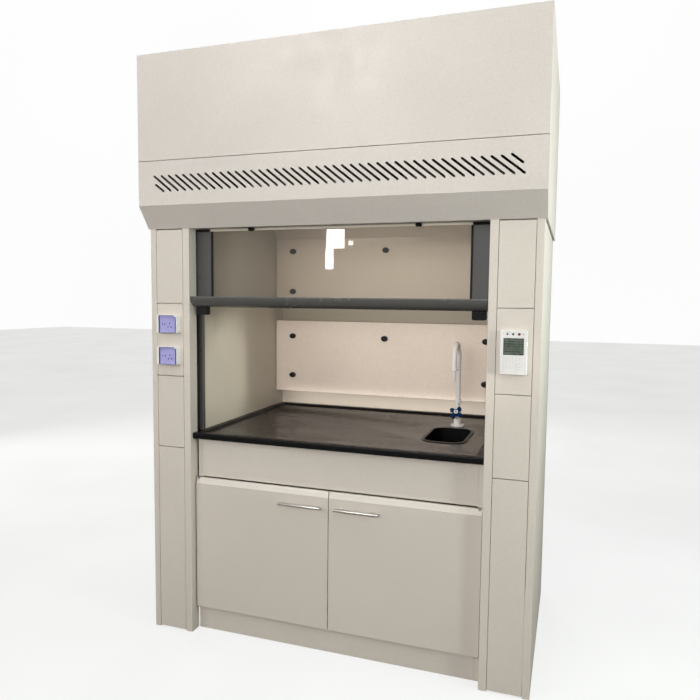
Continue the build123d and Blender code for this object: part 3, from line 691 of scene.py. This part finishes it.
LENS_FACE_Y = -0.4181
LENS_ROW_Z = 1.2375
LENSES = (  # place across, radius and finish of each, from the left
    (0.6365, 0.0030, "lens_grey"),
    (0.6544, 0.0034, "lens_dark"),
    (0.6740, 0.0046, "lens_red"),
    (0.6875, 0.0024, "lens_pale"),
)


def indicator_lens(name, x, radius, finish):
    """A low domed lens with a thin flange, over the display."""
    profile = (
        (radius, 0.0),
        (radius, 0.0003),
        (radius * 0.7, 0.0005),
        (radius * 0.6, 0.0009),
        (radius * 0.3, 0.0011),
    )
    return turned(name, CABINET, M[finish], (x, LENS_FACE_Y, LENS_ROW_Z), FRONTWARD, profile)


for number, lens in enumerate(LENSES, 1):
    indicator_lens(f"lens_{number}", *lens)


# ---------------------------------------------------------------- screws and key marks

ROOF_Z = 2.25
ROW_SCREWS = 6
ROW_END_X = 0.712
ROW_PITCH = 2 * ROW_END_X / (ROW_SCREWS - 1)
ROOF_ROW_Y = 0.43
REAR_ROW_LOW_Z = 0.03
REAR_ROW_HIGH_Z = 2.222
REAR_SIDE_X = 0.727
REAR_SIDE_PITCH = 0.3131
REAR_HEAD = 0.0007

for k in range(ROW_SCREWS):
    x = k * ROW_PITCH - ROW_END_X
    for z in (REAR_ROW_LOW_Z, REAR_ROW_HIGH_Z):
        pan_head(f"rear_screw_{k}_{round(z * 1000)}", (x, REAR_SHEET_Y, z), REARWARD, REAR_HEAD)
    for y in (-ROOF_ROW_Y, ROOF_ROW_Y):
        pan_head(f"roof_screw_{k}_{round(y * 1000)}", (x, y, ROOF_Z), UPWARD)
for k in range(1, 7):
    z = REAR_ROW_LOW_Z + k * REAR_SIDE_PITCH
    for x in (-REAR_SIDE_X, REAR_SIDE_X):
        pan_head(f"rear_side_screw_{k}_{round(x * 1000)}", (x, REAR_SHEET_Y, z), REARWARD, REAR_HEAD)

KEY_MARK_LONG = 0.0044
KEY_MARK_SHORT = 0.0026
KEY_MARK_THICK = 0.0004
KEY_MARK_TALL = 0.0009


def key_mark(index):
    """A short raised mark on a key, longer on the odd keys."""
    low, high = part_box(f"key_{index}")
    centre = (Vector(low) + Vector(high)) / 2
    length = KEY_MARK_LONG if index % 2 else KEY_MARK_SHORT
    name = f"key_mark_{index}"
    bm = box_of((length, KEY_MARK_THICK, KEY_MARK_TALL), (centre.x, low[1] - KEY_MARK_THICK / 4, centre.z))
    return new_object(name, mesh_of(bm, name, M["key_mark"]), f"key_{index}_cap")


for index in KEYS:
    key_mark(index)


# ---------------------------------------------------------------- wire ropes

# The runs over the pulleys ride on the cabinet; the runs down to the sash and to the counterweights are left
# unattached.
ROPE_X = 0.615
PULLEY_Z = 2.192
PULLEY_R = 0.033
FRONT_PULLEY_Y = -0.300
REAR_PULLEY_Y = 0.386
SASH_RUN_Y = FRONT_PULLEY_Y - PULLEY_R
WEIGHT_RUN_Y = REAR_PULLEY_Y + PULLEY_R


def arc(centre_y, start, end):
    """Points over a pulley, by angle from straight back, in the plane of the ropes."""
    angles = [math.radians(a) for a in range(start, end - 1, -10)]
    return [(centre_y + PULLEY_R * math.cos(a), PULLEY_Z + PULLEY_R * math.sin(a)) for a in angles]


def ropes(node, name, path):
    """A node's pair of wire ropes, one at each side, along a path of (y, z) points."""
    bm = bmesh.new()
    for side in (-1, 1):
        add_rope(bm, [Vector((side * ROPE_X, y, z)) for y, z in path])
    obj = linked(name, mesh_of(bm, name, M["steel"]))
    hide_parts(node)
    return obj


over_pulleys = arc(FRONT_PULLEY_Y, 180, 90) + arc(REAR_PULLEY_Y, 90, 0)
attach(ropes("top_cables", "top_wire_ropes", over_pulleys), "cabinet")
sash_low, sash_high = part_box("sash_cables")
sash_run = ((SASH_RUN_Y, sash_high[2]), (SASH_RUN_Y, sash_low[2]))
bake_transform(ropes("sash_cables", "sash_wire_ropes", sash_run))
weight_low, weight_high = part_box("counterweight_cables")
weight_run = ((WEIGHT_RUN_Y, weight_high[2]), (WEIGHT_RUN_Y, weight_low[2]))
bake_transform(ropes("counterweight_cables", "weight_wire_ropes", weight_run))


# ---------------------------------------------------------------- stage

FLOOR_SIZE = 40
FLOOR_Z = -0.0005


def studio_floor():
    """A pale floor that takes shadows but sends no light up at the object."""
    finish = Finish("studio floor", rough=0.8, specular=0.15)
    tone = finish.ramp(finish.noise(0.8, 3), (0.3, srgb(236, 236, 235)), (0.7, srgb(242, 242, 241)))
    finish.color(finish.mix(1.0, tone, grey(0.22), "MULTIPLY"))
    finish.set(Emission_Color=tone, Emission_Strength=0.84)
    half = FLOOR_SIZE / 2
    mesh = bpy.data.meshes.new("floor")
    corners = [(-half, -half, 0), (half, -half, 0), (half, half, 0), (-half, half, 0)]
    mesh.from_pydata(corners, [], [(0, 1, 2, 3)])
    mesh.materials.append(finish.material)
    obj = linked("floor", mesh)
    obj.location.z = FLOOR_Z
    obj.visible_diffuse = obj.visible_glossy = False


def backdrop():
    """A white studio dome behind everything, which only the camera sees, so it lights nothing."""
    finish = Finish("studio white", rough=1.0)
    tone = finish.ramp(finish.noise(0.05, 1), (0.3, grey(0.97)), (0.7, grey(1)))
    finish.color((0, 0, 0, 1))
    finish.set(Emission_Color=tone, Emission_Strength=1.0, Specular_IOR_Level=0.0)
    bm = bmesh.new()
    bmesh.ops.create_uvsphere(bm, u_segments=48, v_segments=24, radius=40)
    obj = linked("backdrop", mesh_of(bm, "backdrop", finish.material))
    obj.visible_diffuse = obj.visible_glossy = obj.visible_transmission = obj.visible_shadow = False


WORLD_LIGHT = 0.14
WORLD_MIRRORED = 0.6


def studio_world():
    """Even pale surround, darker below the horizon so that down-facing surfaces stay in shade."""
    world = bpy.data.worlds.new("studio")
    world.use_nodes = True
    tree = world.node_tree
    coords = tree.nodes.new("ShaderNodeTexCoord")
    split = tree.nodes.new("ShaderNodeSeparateXYZ")
    ramp = tree.nodes.new("ShaderNodeValToRGB")
    place = tree.nodes.new("ShaderNodeMapRange")
    place.inputs["From Min"].default_value = -1
    tree.links.new(coords.outputs["Generated"], split.inputs[0])
    tree.links.new(split.outputs["Z"], place.inputs["Value"])
    tree.links.new(place.outputs[0], ramp.inputs[0])
    tree.links.new(ramp.outputs[0], tree.nodes["Background"].inputs[0])
    elements = ramp.color_ramp.elements
    elements[0].position, elements[0].color = 0.42, (0.2, 0.18, 0.15, 1)
    elements[1].position, elements[1].color = 0.5, (0.93, 0.94, 0.95, 1)
    path = tree.nodes.new("ShaderNodeLightPath")
    strength = tree.nodes.new("ShaderNodeMapRange")
    strength.inputs["To Min"].default_value = WORLD_LIGHT
    strength.inputs["To Max"].default_value = WORLD_MIRRORED
    tree.links.new(path.outputs["Is Glossy Ray"], strength.inputs["Value"])
    tree.links.new(strength.outputs[0], tree.nodes["Background"].inputs[1])
    return world
studio_floor()
backdrop()
scene.world = studio_world()


# ---------------------------------------------------------------- light

WINDOW_TINT = (0.89, 0.99, 0.96)
SKY_TINT = (0.89, 0.99, 0.98)


def lamp(name, kind, location, target, power, color, mirrored):
    """A light of any kind at a place, turned towards a target."""
    data = bpy.data.lights.new(name, kind)
    data.energy = power
    data.color = color
    obj = linked(name, data)
    obj.location = location
    obj.rotation_euler = (Vector(target) - Vector(location)).to_track_quat("-Z", "Y").to_euler()
    obj.visible_glossy = mirrored
    return obj


def area(name, location, target, size, power, color=(1, 1, 1), mirrored=False):
    """A rectangular light; one that is mirrored shows in glossy surfaces too."""
    obj = lamp(name, "AREA", location, target, power, color, mirrored)
    obj.data.shape = "RECTANGLE"
    obj.data.size, obj.data.size_y = size
    return obj


def chamber_lamp(*placing):
    """A light inside the chamber, which the camera doesn't see and which spreads less."""
    obj = area(*placing)
    obj.visible_camera = False
    obj.data.spread = math.radians(110)


def card(name, location, target, size, power):
    """A bright card that only reflections show."""
    obj = area(name, location, target, size, power, mirrored=True)
    obj.visible_camera = obj.visible_diffuse = False


def beam(name, location, target, power, color, spread):
    """A narrow soft-edged spot."""
    obj = lamp(name, "SPOT", location, target, power, color, False)
    obj.data.spot_size = math.radians(spread)
    obj.data.spot_blend = 0.6
    obj.data.shadow_soft_size = 0.08


area("key", (-2.6, -3.6, 2.5), (0, -0.2, 1.2), (2.2, 1.8), 52)
area("front middle", (0.1, -4.4, 1.5), (0, 0.3, 1.2), (1.8, 1.2), 78)
area("front right", (0.8, -4.0, 2.7), (0.4, 0, 1.5), (1.1, 0.8), 7, mirrored=True)
area("top soft", (0, -1.8, 4.2), (0, -0.3, 1.2), (3.0, 1.6), 31, mirrored=True)
area("side window", (3.2, -1.5, 1.7), (0.3, 0, 1.2), (0.5, 1.2), 40, WINDOW_TINT)
area("side high", (2.7, -0.45, 3.0), (0.75, 0, 2.0), (1.2, 1.4), 30, SKY_TINT)
area("side middle", (1.9, -0.36, 1.45), (0.75, -0.1, 1.5), (0.5, 0.6), 11, SKY_TINT)
area("side low", (2.0, -0.3, 0.35), (0.75, 0, 1.4), (0.6, 0.4), 2.5, WINDOW_TINT)
chamber_lamp("chamber low", (0, -0.26, 1.26), (0, 0.3, 1.0), (1.0, 0.1), 0.62, (1.0, 0.97, 0.94))
chamber_lamp("chamber high", (0, -0.29, 1.62), (0, 0.36, 1.45), (0.8, 0.05), 0.85, (1.0, 0.98, 0.96))
chamber_lamp("worktop bounce", (0, 0.3, 0.84), (0, 0.45, 0.85), (1.0, 0.04), 0.3, (1.0, 0.97, 0.94))
# Past the right column, onto the front of the left liner.
beam("liner beam", (2.84, -1.33, 1.2), (-0.566, -0.12, 1.03), 135, (1.0, 0.985, 0.95), 8.5)
# Fill for the rear and the left side, which the camera doesn't see.
area("rear soft", (-1.2, 4.6, 2.2), (0, 0.46, 1.2), (2.4, 1.8), 110)
area("left soft", (-4.4, 1.4, 1.8), (-0.75, 0.4, 1.2), (1.8, 1.8), 60)
# The broad sheen of the upper canopy.
card("canopy sheen", (-0.9, -3.0, 3.2), (0, -0.4, 2.2), (1.0, 0.6), 26)

# Cards far behind the camera stand for a window that shows in the sash glass.
WINDOW_CARD_Y = -4.5
for name, x, z, size, power in (
    ("window card", -1.531, 1.976, (0.198, 0.215), 2.2),
    ("window card low", -1.598, 1.761, (0.087, 0.216), 1.0),
    ("window card small", -1.361, 1.921, (0.048, 0.043), 0.1),
):
    card(name, (x, WINDOW_CARD_Y, z), (x, 0, z), size, power)


# ---------------------------------------------------------------- camera

CAMERA_AT = Vector((0.83297, -2.57257, 1.34752))
YAW, PITCH, ROLL = (math.radians(a) for a in (18.893, -4.556, 0.597))
LENS_MM = 33.26
SENSOR_MM = 36


def photographer():
    """A camera at CAMERA_AT, turned left by YAW, tilted by PITCH and rolled by ROLL."""
    forward = Vector((-math.sin(YAW) * math.cos(PITCH), math.cos(YAW) * math.cos(PITCH), math.sin(PITCH)))
    level = Vector((math.cos(YAW), math.sin(YAW), 0))
    upward = level.cross(forward)
    right = level * math.cos(ROLL) + upward * math.sin(ROLL)
    up = upward * math.cos(ROLL) - level * math.sin(ROLL)
    data = bpy.data.cameras.new("camera")
    data.sensor_width = SENSOR_MM
    data.lens = LENS_MM
    data.clip_start, data.clip_end = 0.05, 100
    obj = linked("camera", data)
    obj.matrix_world = Matrix((
        (right.x, up.x, -forward.x, CAMERA_AT.x),
        (right.y, up.y, -forward.y, CAMERA_AT.y),
        (right.z, up.z, -forward.z, CAMERA_AT.z),
        (0, 0, 0, 1),
    ))
    return obj


scene.camera = photographer()
scene.view_settings.view_transform = "Standard"
